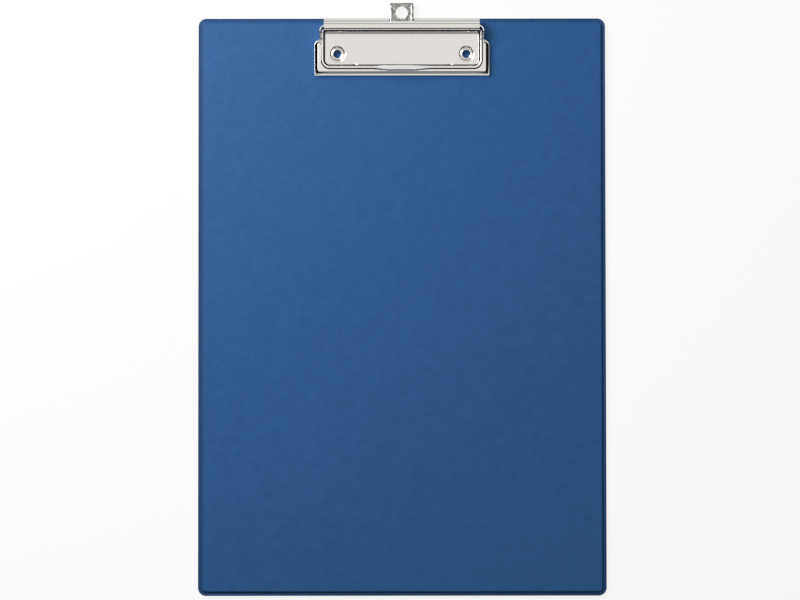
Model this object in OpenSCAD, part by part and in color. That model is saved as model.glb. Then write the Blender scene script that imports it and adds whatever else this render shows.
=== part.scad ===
// A4 clipboard: a foil-covered board, a sprung clip across its top and a pull-out hanging eye.
// The board lies on its back, so +Z points out of its front and +Y points towards the clip.
// The origin is the middle of the board's back face, and all lengths are in millimetres.

/* [Board] */
// Width of the board
board_w = 228; // [200:1:260]
// Length of the board
board_l = 323; // [290:1:380]
// Thickness of the greyboard core
core_t = 2; // [1.6:0.1:3]
// Thickness of the foil on each side
foil_t = 0.4; // [0.3:0.05:0.6]
// Radius of the board's corners, seen from the front
corner_r = 4.5; // [3.5:0.5:12]
// Width of the flat welded rim outside the core
rim_w = 2; // [1.8:0.1:2.6]
// Rounding of the foil over the core's edge
edge_round = 0.8; // [0.5:0.1:1]
// Fillet where the rim meets the raised board
rim_fillet = 0.3; // [0.1:0.05:0.3]
// Distance of the weld line from the board's edge
weld_inset = 1.25; // [0.8:0.05:1.3]
// Width of the weld line
weld_w = 0.8; // [0.4:0.1:0.9]
// Depth of the weld line
weld_depth = 0.12; // [0.05:0.01:0.2]
// Clearance between the core's edge and the foil
core_fit = 0.1; // [0.05:0.05:0.3]

/* [Clip plate] */
// Width of the clip plate and of its barrel
plate_w = 87; // [76:1:120]
// Thickness of the plate's sheet steel
plate_t = 0.7; // [0.5:0.05:0.8]
// Distance from the board's top edge to the plate's front edge
plate_reach = 26.7; // [22:0.1:40]
// Height of the space under the plate's deck
deck_gap = 1.3; // [1.25:0.05:1.6]
// Outside radius of the bend along the deck's edges
deck_bend_r = 0.9; // [0.8:0.1:1.6]
// Radius of the plate's front corners, seen from above
plate_corner_r = 3.1; // [2:0.1:5]
// Outside diameter of the barrel
barrel_d = 8; // [7.6:0.1:9]
// Distance from the board's top edge to the back of the barrel
barrel_inset = 0.9; // [0.5:0.1:4]
// Height of the slit that the rolled edge leaves above the deck
roll_slit = 0.3; // [0.1:0.1:0.6]
// Distance of each rivet from the plate's side
rivet_side = 7.4; // [6.5:0.1:9]
// Distance of the rivets behind the plate's front edge
rivet_inset = 6.6; // [6:0.1:10]
// Diameter of a rivet's dimple at the deck
dimple_d = 9.4; // [8:0.1:10]
// Diameter of a dimple's flat floor
dimple_floor_d = 6.6; // [6.2:0.1:7.5]
// Distance of each stiffening dart from the plate's side
dart_side = 16.9; // [16:0.1:30]
// Radius of a stiffening dart
dart_r = 1.4; // [1:0.1:1.6]

/* [Rivets] */
// Bore through a hollow rivet
rivet_bore_d = 4.3; // [3.5:0.1:4.5]
// Diameter of a rivet's shank
rivet_d = 5; // [4.8:0.1:5.4]
// Diameter of a rivet's flat rear head
rivet_head_d = 9; // [8:0.1:10]
// Thickness of a rivet's rear head
rivet_head_t = 0.5; // [0.3:0.1:0.8]
// Clearance around a rivet's shank
rivet_fit = 0.1; // [0.05:0.05:0.2]
// Clearance around a rivet's rear head
rivet_head_fit = 0.2; // [0.1:0.05:0.4]

/* [Jaw] */
// Thickness of the jaw's sheet steel
jaw_t = 0.8; // [0.6:0.05:0.9]
// Gap between the jaw's arms and the sides of the plate
arm_gap = 0.3; // [0.2:0.05:0.6]
// Gap between the jaw's bar and the front of the plate
bar_gap = 0.4; // [0.3:0.05:1]
// Height of the jaw's crest above the board
crest_h = 4.5; // [4.2:0.1:5]
// Height of the hem that hangs from the crest's inner edge
hem_h = 1.9; // [1.5:0.1:2.2]
// Width of the flat top of the crest
crest_flat = 0.5; // [0.4:0.05:1.2]
// Drop from the crest to the shoulder
step_drop = 0.45; // [0.3:0.05:0.6]
// Width of the step between the crest and the shoulder
step_w = 0.55; // [0.3:0.05:1]
// Width of the flat at the foot of the step, which follows the round corners
step_foot = 0.25; // [0.1:0.05:0.5]
// Width of the flat shoulder
shoulder_w = 0.5; // [0.4:0.05:1.5]
// Radius of the upper bends, to the middle of the sheet
bend_r = 0.5; // [0.46:0.01:0.6]
// Radius of the bend at the foot of the skirt, to the middle of the sheet
foot_r = 1; // [0.7:0.1:1.3]
// Slope of the skirt
skirt_angle = 70; // [60:1:80]
// Width of the flat lip along the bar, which presses on the paper
bar_lip = 0.2; // [0.1:0.05:2]
// Width of the flat lip along the arms
arm_lip = 0.4; // [0.1:0.05:1]
// Radius of the frame's inner corners
jaw_corner_r = 3.4; // [2:0.1:5]
// Distance from the hinge to the rear of the arms' skirts
skirt_stop = 10.4; // [9.5:0.1:12]
// Distance from the hinge to the rear of the arms' crests
crest_stop = 4.7; // [4.5:0.1:6]
// Width of the thumb lift in the middle of the bar
lift_w = 33; // [20:1:40]
// Rise of the thumb lift above the crest
lift_h = 1.5; // [0.8:0.1:2]
// Width of the thumb lift's flat top, across the bar
lift_flat = 0.7; // [0.4:0.1:1]

/* [Hinge] */
// Height of the straps that turn into the barrel's ends
strap_h = 6; // [4.5:0.1:6.2]
// Inside radius of the straps' turn
strap_bend_r = 2.4; // [2.2:0.1:2.6]
// Clearance between the straps and the board
strap_clear = 0.4; // [0.3:0.05:0.8]
// How far each tongue reaches into the barrel
tongue_reach = 4; // [2.5:0.1:4.2]
// Running clearance between a tongue's edges and the barrel's bore
tongue_fit = 0.06; // [0.03:0.01:0.1]

/* [Springs] */
// Diameter of the spring wire
wire_d = 1.1; // [0.8:0.05:1.1]
// Clearance between a coil and the barrel's bore
coil_fit = 0.15; // [0.1:0.05:0.3]
// Distance from one turn of a coil to the next
coil_pitch = 1.65; // [1.55:0.05:1.7]
// Full turns in a coil
coil_turns = 8; // [4:1:8]
// Turn between a straight leg and the coil, to the middle of the wire
coil_turn_r = 1.4; // [1.2:0.1:1.8]
// Radius of the bend between a coil and its outer leg
leg_bend_r = 1.2; // [0.9:0.1:1.3]
// Length of the straight inner leg
inner_leg = 3.5; // [2.5:0.1:4]
// Gap between an outer leg and the crest that it presses on
leg_gap = 0.05; // [0.03:0.01:0.1]
// Distance from the hinge to the tip of an outer leg
leg_reach = 7.7; // [7:0.1:9]
// Length of straight wire between a coil and the bend to its outer leg
outer_run = 4.3; // [4.2:0.1:5.5]
// Gap between an inner leg and the lug that holds it
lug_fit = 0.1; // [0.05:0.05:0.2]

/* [Hanging eye] */
// Width of the hanger's strip
hanger_w = 13.2; // [12:0.1:16]
// Thickness of the hanger's sheet steel
hanger_t = 0.8; // [0.6:0.05:0.85]
// Gap under the hanger
hanger_gap = 0.1; // [0.05:0.05:0.2]
// Distance that the hanger's end stands out past the board's top edge
hanger_out = 8.8; // [8:0.1:14]
// Diameter of the hanging hole
eye_d = 7; // [5:0.1:7.5]
// Distance from the hole's middle to the hanger's end
eye_inset = 5.7; // [5.5:0.1:7]
// Outside radius of the bend at the hanger's end
hanger_bend_r = 1.6; // [1.2:0.1:1.8]
// Drop of the lip at the hanger's end
hanger_lip = 2.7; // [2:0.1:3]
// Rounding of the lip's corners
hanger_corner_r = 1; // [0.5:0.1:1.5]
// Width of the raised rail along each side
rail_w = 1.6; // [1:0.1:1.8]
// Height of the raised rails
rail_h = 0.25; // [0.1:0.05:0.25]
// Gap between the hanger and each side of its slot
slot_gap = 0.4; // [0.2:0.1:0.8]
// Width that each wing adds at the hanger's tail
wing_w = 3; // [1.5:0.1:5]
// Length of the wings along the slide
wing_l = 2.15; // [1.5:0.05:4]
// Gap between the wings and the barrel that stops them
wing_gap = 0.3; // [0.2:0.05:0.5]
// Gap that is left between the lip and the board when the hanger is in
hanger_stop = 0.2; // [0.1:0.1:1]

/* [Hidden] */
$fn = 64;

// How far shapes that join run into each other
lap = 0.1;

// Board
board_t = core_t + 2 * foil_t;
board_top = board_l / 2;
foil_wall = rim_w + foil_t;
core_inset = foil_wall + core_fit;
weld_r = (pow(weld_w / 2, 2) + pow(weld_depth, 2)) / (2 * weld_depth);

// Clip plate
barrel_r = barrel_d / 2;
bore_r = barrel_r - plate_t;
hinge_y = board_top - barrel_inset - barrel_r;
hinge_z = board_t + barrel_r;
plate_x = plate_w / 2;
plate_front = board_top - plate_reach;
barrel_front = hinge_y - barrel_r;
deck_z = board_t + deck_gap;
deck_top = deck_z + plate_t;
rivet_x = plate_x - rivet_side;
rivet_y = plate_front + rivet_inset;
dart_x = plate_x - dart_side;
dimple_z = board_t + plate_t;

// Jaw. The sheet's section is drawn outwards from the frame's inner edge.
jaw_x = plate_x + arm_gap;
jaw_front = plate_front - bar_gap;
crest_z = board_t + crest_h;
shoulder_z = crest_z - step_drop;
hem_bend = bend_r + jaw_t / 2;
step_start = hem_bend + crest_flat;
step_end = step_start + step_w;
ridge_w = step_end + step_foot;
shoulder_mid = ridge_w + shoulder_w / 2;
shoulder_end = ridge_w + shoulder_w;
skirt_drop = shoulder_z - board_t - jaw_t - (bend_r + foot_r) * (1 - cos(skirt_angle));
skirt_run = skirt_drop / sin(skirt_angle);
foot_end = shoulder_end + (bend_r + foot_r) * sin(skirt_angle) + skirt_run * cos(skirt_angle);
bar_w = foot_end + bar_lip;
arm_w = foot_end + arm_lip;
skirt_back = hinge_y - skirt_stop;
crest_back = hinge_y - crest_stop;

// Thumb lift: the bar's sheet arched upwards, with a flat top and a front that drops to the
// shoulder's outer edge. Its hollow spans less than its arch, so that its ends stay closed.
lift_top = crest_z + lift_h;
lift_r = (pow(lift_w / 2, 2) + pow(lift_h, 2)) / (2 * lift_h);
lift_span = 2 * asin(lift_w / 2 / lift_r);
lift_web = 2;
lift_hollow = lift_span - 2 * lift_web;
lift_margin = 1;
lift_brow = hem_bend + lift_flat;
lift_rise = lift_top - hem_bend - shoulder_z;
lift_run = shoulder_end - lift_brow;
lift_slope = atan(lift_rise / lift_run) + asin(hem_bend / norm([lift_rise, lift_run]));
lift_steps = 6;

// Hinge
strap_out = jaw_x + ridge_w;
strap_in = strap_out - jaw_t;
turn_x = strap_in - strap_bend_r;
turn_y = hinge_y - jaw_t / 2 - strap_bend_r;
tongue_r = bore_r - tongue_fit;

// Springs. A coil's angle is zero at the bottom of the barrel and grows towards the front.
wire_r = wire_d / 2;
coil_r = bore_r - coil_fit - wire_r;
leg_x = (plate_x + strap_in) / 2;
leg_z = crest_z + leg_gap + wire_r;
last_angle = 360 * coil_turns + acos((hinge_z - leg_z) / coil_r);
coil_slope = atan(2 * PI * coil_r / coil_pitch);
turn_angle = coil_turn_r * (1 - cos(coil_slope)) / coil_r * 180 / PI;
turn_rise = coil_turn_r * sin(coil_slope);
coil_rise = (last_angle - 2 * turn_angle) / 360 * coil_pitch;
coil_end = leg_x - leg_bend_r - outer_run - turn_rise;
coil_start = coil_end - coil_rise;
leg_start = coil_start - turn_rise - inner_leg;
rings_per_turn = 8;
wire_sides = 6;

// Hanging eye
hanger_z = board_t + hanger_gap;
hanger_end = board_top + hanger_out;
eye_y = hanger_end - eye_inset;
slot_x = hanger_w / 2 + slot_gap;
slot_share = 0.61;
rail_r = (pow(rail_w / 2, 2) + pow(rail_h, 2)) / (2 * rail_h);
hanger_top = hanger_z + hanger_t;
wing_y = hinge_y - sqrt(pow(barrel_r, 2) - pow(hinge_z - hanger_top, 2)) - wing_gap;
hanger_tail = wing_y - wing_l;
hanger_travel = hanger_out - hanger_t - hanger_stop;

foil_blue = "#2f6296";
foil_back_blue = "#2b5c90";
greyboard = "#9a958c";
nickel = "#cfcbc5";
nickel_jaw = "#b9b8b6";
rivet_grey = "#a9adb4";
steel_grey = "#8e9092";

// ---- Shared shapes ----

// A rectangle with round corners, centred on the origin.
module rounded_rect(w, l, r) {
    square([w - 2 * r, l], center = true);
    square([w, l - 2 * r], center = true);
    for (x = [-1, 1], y = [-1, 1])
        translate([x * (w / 2 - r), y * (l / 2 - r)]) circle(r);
}

// What rounds off a profile's upper outer corner, which lies at the origin.
module corner_cut(r) {
    difference() {
        translate([-r, 0]) mirror([0, 1]) square([2 * r, r]);
        translate([r, -r]) circle(r);
        translate([r, -r]) square(r);
    }
}

// A run of edge along Y. The profile's x points inwards to +X and its y points up.
module edge_run(length) {
    rotate([90, 0, 0]) linear_extrude(length, center = true) children();
}

// A quarter turn of edge between the -X side and the -Y side, with its centre at the origin.
// The profile is trimmed to its own side of the axis.
module edge_corner(r) {
    rotate([0, 0, 180]) rotate_extrude(angle = 90) intersection() {
        translate([r, 0]) mirror([1, 0]) children();
        translate([0, -2 * r]) square([r, 4 * r]);
    }
}

// The edge of a rectangle w by l all the way round. The profile reaches inwards to x = r.
module edge_loop(w, l, r) {
    for (turn = [0, 180]) rotate([0, 0, turn]) {
        translate([-w / 2, 0, 0]) edge_run(l - 2 * r) children();
        translate([0, -l / 2, 0]) rotate([0, 0, 90]) edge_run(w - 2 * r) children();
        translate([-w / 2 + r, -l / 2 + r, 0]) edge_corner(r) children();
        translate([w / 2 - r, -l / 2 + r, 0]) rotate([0, 0, 90]) edge_corner(r) children();
    }
}

// One bend of a sheet of thickness t, from the origin along +X. Positive turns go left.
module sheet_bend(t, r, turn) {
    side = sign(turn);
    reach = 2 * (r + t);
    translate([0, side * r]) intersection() {
        difference() {
            circle(r + t / 2);
            circle(r - t / 2);
        }
        polygon([
            [0, 0],
            [0, -side * reach],
            2 * reach * [side * sin(turn / 2), -side * cos(turn / 2)],
            reach * [side * sin(turn), -side * cos(turn)]
        ]);
    }
}

// A bent sheet's section. Each step is [length, 0] for a straight or [radius, angle] for a bend.
module bent_sheet(t, steps, i = 0) {
    if (i < len(steps)) {
        size = steps[i][0];
        turn = steps[i][1];
        side = sign(turn);
        if (turn == 0) {
            translate([0, -t / 2]) square([size, t]);
            translate([size, 0]) bent_sheet(t, steps, i + 1);
        } else {
            sheet_bend(t, size, turn);
            translate([0, side * size]) rotate(turn) translate([0, -side * size])
                bent_sheet(t, steps, i + 1);
        }
    }
}

// Places children at both rivets.
module at_rivets() {
    for (x = [-rivet_x, rivet_x]) translate([x, rivet_y, 0]) children();
}

// Lays a section along X from -X to +X: its x points to -Y, away from the line at y.
module across(y, length) {
    translate([0, y, 0]) rotate([90, 0, -90]) linear_extrude(length, center = true) children();
}

// ---- Board ----

// Section of one foil at the board's edge, up from the board's mid-plane.
module foil_section() {
    top = core_t / 2 + foil_t;
    difference() {
        union() {
            square([foil_wall, foil_t]);
            translate([rim_w, 0]) square([foil_t, top]);
            translate([rim_w, core_t / 2]) square([corner_r - rim_w, foil_t]);
            translate([rim_w - rim_fillet, foil_t]) square(rim_fillet);
        }
        translate([rim_w, top]) corner_cut(edge_round);
        translate([rim_w - rim_fillet, foil_t + rim_fillet]) circle(rim_fillet);
        translate([weld_inset, foil_t + weld_r - weld_depth]) circle(weld_r);
    }
}

// One foil, from the board's mid-plane up.
module foil() {
    edge_loop(board_w, board_l, corner_r) foil_section();
    translate([-board_w / 2 + corner_r, -board_l / 2 + corner_r, core_t / 2])
        cube([board_w - 2 * corner_r, board_l - 2 * corner_r, foil_t]);
}

// The foil of the front, which the rivets pass through.
module front_foil() {
    color(foil_blue) difference() {
        translate([0, 0, board_t / 2]) foil();
        at_rivets() cylinder(r = rivet_d / 2 + rivet_fit, h = board_t + plate_t);
    }
}

// The foil of the back, which covers the rivets' heads.
module back_foil() {
    color(foil_back_blue) translate([0, 0, board_t / 2]) mirror([0, 0, 1]) foil();
}

// The greyboard that stiffens the board, with recesses for the rivets' heads.
module core_board() {
    color(greyboard) difference() {
        translate([0, 0, foil_t]) linear_extrude(core_t)
            rounded_rect(board_w - 2 * core_inset, board_l - 2 * core_inset, corner_r - rim_w - foil_t / 2);
        at_rivets() {
            cylinder(r = rivet_d / 2 + rivet_fit, h = board_t);
            cylinder(r = rivet_head_d / 2 + rivet_head_fit, h = foil_t + rivet_head_t);
        }
    }
}

// ---- Clip plate ----

// The plate's tray as a solid. An inset gives the hollow inside the sheet.
module tray(inset) {
    x = plate_x - inset;
    front = plate_front + inset;
    r = plate_corner_r - inset;
    top = deck_top - board_t - inset;
    length = barrel_front - front - r;
    translate([0, 0, board_t]) {
        translate([-x + r, front + r, 0]) cube([2 * (x - r), length, top]);
        translate([0, front, 0]) rotate([0, 0, 90]) edge_run(2 * (x - r)) tray_section(r, top, inset);
        for (side = [0, 1]) mirror([side, 0, 0]) {
            translate([-x, front + r + length / 2, 0]) edge_run(length) tray_section(r, top, inset);
            translate([-x + r, front + r, 0]) edge_corner(r) tray_section(r, top, inset);
        }
    }
}

// Section of the tray's edge, with its bend at the top.
module tray_section(w, h, inset) {
    difference() {
        square([w, h]);
        translate([0, h]) corner_cut(deck_bend_r - inset);
    }
}

// The round grooves of the darts, at 45 degrees through the deck's front edge.
module darts(r) {
    for (x = [-dart_x, dart_x]) translate([x, plate_front, deck_top])
        rotate([-45, 0, 0]) cylinder(r = r, h = 4 * (dart_r + plate_t), center = true);
}

// The barrel or its bore, along the hinge axis.
module along_hinge(r, length) {
    translate([0, hinge_y, hinge_z]) rotate([0, 90, 0]) cylinder(r = r, h = length, center = true);
}

// The cuts in the barrel that let the hanger through.
module hanger_slot() {
    past = board_top + barrel_r;
    translate([-slot_x, barrel_front, 0]) cube([2 * slot_x, barrel_r, deck_z]);
    translate([-slot_x, hinge_y, 0]) cube([2 * slot_x, past - hinge_y, hinge_z]);
    translate([-slot_x, hinge_y + slot_share * barrel_r, 0])
        cube([2 * slot_x, past - hinge_y, hinge_z + 2 * barrel_r]);
}

// The lugs inside the barrel that hold the springs' inner legs.
module spring_lugs() {
    bottom = (bore_r + barrel_r) / 2;
    y = hinge_y - wire_r - lug_fit - plate_t;
    for (side = [0, 1]) mirror([side, 0, 0])
        translate([leg_start + wire_r / 2, y, hinge_z - bottom])
            cube([inner_leg / 2, plate_t, bottom - coil_r + wire_r / 2]);
}

// The sheet-steel plate: deck, barrel, dimples, darts and the hanger's slot.
module base_plate() {
    dimple_wall = plate_t / 3;
    color(nickel) difference() {
        union() {
            difference() {
                union() {
                    difference() {
                        tray(0);
                        difference() {
                            tray(plate_t);
                            darts(dart_r + plate_t);
                        }
                        darts(dart_r);
                    }
                    along_hinge(barrel_r, plate_w);
                    translate([-plate_x, barrel_front, deck_z])
                        cube([plate_w, barrel_r / 2, plate_t]);
                }
                along_hinge(bore_r, plate_w + 2 * lap);
                translate([-plate_x - lap, barrel_front - lap, deck_top])
                    cube([plate_w + 2 * lap, barrel_r / 2, roll_slit]);
                hanger_slot();
            }
            spring_lugs();
            at_rivets() translate([0, 0, board_t]) cylinder(
                r1 = dimple_floor_d / 2 + dimple_wall,
                r2 = dimple_d / 2 + dimple_wall,
                h = deck_gap
            );
        }
        at_rivets() {
            translate([0, 0, dimple_z])
                cylinder(r1 = dimple_floor_d / 2, r2 = dimple_d / 2, h = deck_gap);
            cylinder(r = rivet_d / 2 + rivet_fit, h = deck_top);
        }
    }
}

// ---- Rivets ----

// A hollow rivet, from its flat rear head to the curl on the dimple's floor.
module rivet() {
    bore = rivet_bore_d / 2;
    curl = (rivet_d / 2 - bore + 2 * rivet_fit + plate_t / 3) / 2;
    color(rivet_grey) rotate_extrude() {
        translate([bore, foil_t]) square([rivet_head_d / 2 - bore, rivet_head_t]);
        translate([bore, foil_t]) square([rivet_d / 2 - bore, dimple_z - foil_t]);
        intersection() {
            translate([bore + curl, dimple_z]) circle(curl);
            translate([bore, dimple_z]) square([2 * curl, curl]);
        }
    }
}

module left_rivet() {
    translate([-rivet_x, rivet_y, 0]) rivet();
}

module right_rivet() {
    translate([rivet_x, rivet_y, 0]) rivet();
}

// ---- Jaw ----

// Section of the crest, from the hem at the inner edge to the foot of the step.
module ridge_section() {
    under = jaw_t * tan(atan(step_drop / step_w) / 2);
    translate([jaw_t / 2, crest_z - hem_h]) rotate(90) bent_sheet(jaw_t, [
        [hem_h - hem_bend, 0],
        [bend_r, -90]
    ]);
    polygon([
        [hem_bend, crest_z],
        [step_start, crest_z],
        [step_end, shoulder_z],
        [ridge_w, shoulder_z],
        [ridge_w, shoulder_z - jaw_t],
        [step_end - under, shoulder_z - jaw_t],
        [step_start - under, crest_z - jaw_t],
        [hem_bend, crest_z - jaw_t]
    ]);
}

// Section of the skirt, from the middle of the shoulder to the end of the lip.
module skirt_section(lip) {
    translate([shoulder_mid, shoulder_z - jaw_t / 2]) bent_sheet(jaw_t, [
        [shoulder_end - shoulder_mid, 0],
        [bend_r, -skirt_angle],
        [skirt_run, 0],
        [foot_r, skirt_angle],
        [lip, 0]
    ]);
}

// The plan of everything in front of the mitres at the bar's ends, which run at 45 degrees.
module bar_plan() {
    reach = ceil(2 * bar_w);
    translate([0, jaw_front]) polygon([
        [-jaw_x, 0],
        [jaw_x, 0],
        [jaw_x + reach, -reach],
        [-jaw_x - reach, -reach]
    ]);
}

// The crest round the whole frame, with round corners.
module ridge() {
    r = jaw_corner_r;
    across(jaw_front, 2 * (jaw_x - r)) ridge_section();
    for (side = [0, 1]) mirror([side, 0, 0]) {
        translate([jaw_x, crest_back, 0]) rotate([90, 0, 0])
            linear_extrude(crest_back - jaw_front - r) ridge_section();
        translate([jaw_x - r, jaw_front + r, 0]) rotate([0, 0, -90])
            rotate_extrude(angle = 90) translate([r, 0]) ridge_section();
    }
}

// The inner half of the flat shoulder, between the round ridge and the mitred skirt.
module shoulder() {
    arm_l = skirt_back - jaw_front;
    r = jaw_corner_r + ridge_w;
    translate([0, jaw_front, shoulder_z - jaw_t]) linear_extrude(jaw_t) difference() {
        translate([-jaw_x - shoulder_mid, -shoulder_mid])
            square([2 * (jaw_x + shoulder_mid), arm_l + shoulder_mid]);
        translate([-jaw_x - ridge_w, jaw_corner_r]) square([2 * (jaw_x + ridge_w), arm_l]);
        translate([-jaw_x + jaw_corner_r, -ridge_w]) square([2 * (jaw_x - jaw_corner_r), arm_l]);
        for (x = [-1, 1]) translate([x * (jaw_x - jaw_corner_r), jaw_corner_r]) circle(r);
    }
}

// The skirt along the bar and the arms, mitred at the outer corners.
module skirt() {
    length = skirt_back - jaw_front + bar_w;
    intersection() {
        across(jaw_front, 2 * (jaw_x + bar_w)) skirt_section(bar_lip);
        linear_extrude(crest_z) bar_plan();
    }
    for (side = [0, 1]) mirror([side, 0, 0]) {
        difference() {
            translate([jaw_x, skirt_back, 0]) rotate([90, 0, 0])
                linear_extrude(length) skirt_section(arm_lip);
            linear_extrude(crest_z) bar_plan();
        }
        translate([strap_out, skirt_back, 0]) rotate_extrude(angle = 90) {
            translate([0, shoulder_z - jaw_t]) square([shoulder_w / 2, jaw_t]);
            translate([-ridge_w, 0]) skirt_section(arm_lip);
        }
    }
}

// The strap at the end of each arm, which turns inwards and ends as a tongue in the barrel.
module straps() {
    low = board_t + strap_clear;
    rise_y = skirt_back + arm_w - ridge_w;
    for (side = [0, 1]) mirror([side, 0, 0]) {
        translate([strap_in, 0, 0]) rotate([90, 0, 90]) linear_extrude(jaw_t) polygon([
            [skirt_back, low],
            [rise_y, low],
            [turn_y, hinge_z - strap_h / 2],
            [turn_y, hinge_z + strap_h / 2],
            [rise_y, shoulder_z],
            [skirt_back, shoulder_z]
        ]);
        translate([turn_x, turn_y, hinge_z]) rotate_extrude(angle = 90)
            translate([strap_bend_r, -strap_h / 2]) square([jaw_t, strap_h]);
        intersection() {
            along_hinge(tongue_r, 2 * plate_x);
            translate([plate_x - tongue_reach, hinge_y - jaw_t / 2, hinge_z - barrel_r])
                cube([turn_x + lap - plate_x + tongue_reach, jaw_t, barrel_d]);
        }
    }
}

// Section under one side of the thumb lift's sheet, at a depth below its outer side and down to
// a height of low. It ends at the shoulder's outer edge or at the same depth under it.
module lift_section(depth, low) {
    r = hem_bend - depth;
    rear = [hem_bend, lift_top - hem_bend];
    brow = [lift_brow, lift_top - hem_bend];
    end = [shoulder_end, shoulder_z] - depth * [sin(lift_slope), cos(lift_slope)];
    drop = end[1] - shoulder_z + depth;
    polygon(concat(
        [[depth, low]],
        [for (i = [0 : lift_steps]) let (a = 90 * (i / lift_steps - 1)) rear + r * [sin(a), cos(a)]],
        [for (i = [0 : lift_steps]) let (a = lift_slope * i / lift_steps) brow + r * [sin(a), cos(a)]],
        [end + drop * [1 / tan(lift_slope), -1]],
        [[end[0] + drop / tan(lift_slope), low]]
    ));
}

// A section of the thumb lift, swept along its arch.
module lift_arch(span, depth, low) {
    translate([0, jaw_front, lift_top - lift_r]) rotate([90, 0, 0]) rotate([0, 0, 90 - span / 2])
        rotate_extrude(angle = span) translate([lift_r - lift_top, 0]) mirror([1, -1])
            lift_section(depth, low);
}

// The solid of the thumb lift above the bar's sheet.
module lift_body() {
    low = shoulder_z - jaw_t / 2;
    intersection() {
        lift_arch(lift_span + lift_margin, 0, low - lift_h);
        translate([-lift_w, jaw_front - bar_w, low]) cube([2 * lift_w, bar_w, lift_h + crest_h]);
    }
}

// The jaw: a sheet-steel frame that presses its bar on the paper.
module jaw() {
    color(nickel_jaw) difference() {
        union() {
            ridge();
            shoulder();
            skirt();
            straps();
            lift_body();
        }
        lift_arch(lift_hollow, jaw_t, crest_z - hem_h);
    }
}

// ---- Springs ----

function unit(v) = v / norm(v);

// A point on the coil's cylinder at a distance x from the middle.
function on_coil(x, angle) = [x, hinge_y - coil_r * sin(angle), hinge_z - coil_r * cos(angle)];

// The wire's middle line on the +X side, from the inner leg's tip to the outer leg's tip.
function spring_path() =
    let (
        turn_steps = 3,
        bend_steps = 4,
        coil_steps = round((last_angle - 2 * turn_angle) / 360 * rings_per_turn),
        first = turn_angle,
        sweep = last_angle - 2 * turn_angle,
        bend_y = on_coil(0, last_angle)[1] - leg_bend_r
    )
    concat(
        [on_coil(leg_start, 0)],
        [for (i = [0 : turn_steps - 1]) let (a = coil_slope * i / turn_steps) on_coil(
            leg_start + inner_leg + coil_turn_r * sin(a),
            coil_turn_r * (1 - cos(a)) / coil_r * 180 / PI)],
        [for (i = [0 : coil_steps]) on_coil(
            coil_start + coil_rise * i / coil_steps,
            first + sweep * i / coil_steps)],
        [for (i = [1 : turn_steps]) let (a = coil_slope * (1 - i / turn_steps)) on_coil(
            coil_end + turn_rise - coil_turn_r * sin(a),
            last_angle - coil_turn_r * (1 - cos(a)) / coil_r * 180 / PI)],
        [for (i = [0 : bend_steps]) let (a = 90 * i / bend_steps) [
            leg_x - leg_bend_r + leg_bend_r * sin(a),
            bend_y + leg_bend_r * cos(a),
            leg_z]],
        [[leg_x, hinge_y - leg_reach, leg_z]]
    );

// The direction of the line at each of its points.
function path_directions(p) = [
    for (i = [0 : len(p) - 1]) unit(p[min(i + 1, len(p) - 1)] - p[max(i - 1, 0)])
];

// A sideways direction at each point, which turns as little as it can.
function path_sides(d) = [
    for (i = 0, s = [0, 0, 1]; i < len(d); i = i + 1, s = i < len(d) ? unit(s - (s * d[i]) * d[i]) : s)
        unit(s - (s * d[i]) * d[i])
];

// A round tube along a line of points.
module tube(p, r, sides) {
    d = path_directions(p);
    s = path_sides(d);
    rings = len(p);
    points = [
        for (i = [0 : rings - 1], k = [0 : sides - 1])
            let (a = 360 * k / sides)
            p[i] + r * (cos(a) * s[i] + sin(a) * cross(d[i], s[i]))
    ];
    walls = [
        for (i = [0 : rings - 2], k = [0 : sides - 1], half = [0, 1])
            let (a = i * sides + k, b = i * sides + (k + 1) % sides)
            half == 0 ? [a, a + sides, b] : [b, a + sides, b + sides]
    ];
    first_cap = [for (k = [1 : sides - 2]) [0, k, k + 1]];
    last = (rings - 1) * sides;
    last_cap = [for (k = [1 : sides - 2]) [last, last + k + 1, last + k]];
    polyhedron(points, concat(walls, first_cap, last_cap));
}

// The least distance between the wire's surface and itself, one turn away or more.
function spring_gap(p) = min([
    for (i = [0 : len(p) - rings_per_turn], j = [i + rings_per_turn - 1 : len(p) - 1])
        norm(p[i] - p[j])
]) - wire_d;

// A torsion spring in the barrel, with its outer leg on the jaw's crest.
module spring() {
    path = spring_path();
    echo(least_gap_of_spring_mm = spring_gap(path));
    color(steel_grey) tube(path, wire_r, wire_sides);
}

module right_spring() {
    spring();
}

module left_spring() {
    mirror([1, 0, 0]) spring();
}

// ---- Hanging eye ----

// The hanger's plan: the strip with the lip's round corners and the wings at its tail.
module hanger_plan() {
    r = hanger_corner_r;
    wings = hanger_w + 2 * wing_w;
    translate([-hanger_w / 2, hanger_tail]) square([hanger_w, hanger_end - r - hanger_tail]);
    translate([-hanger_w / 2 + r, hanger_tail]) square([hanger_w - 2 * r, hanger_end - hanger_tail]);
    for (x = [-1, 1]) translate([x * (hanger_w / 2 - r), hanger_end - r]) circle(r);
    translate([-wings / 2, hanger_tail]) square([wings, wing_l]);
}

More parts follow.
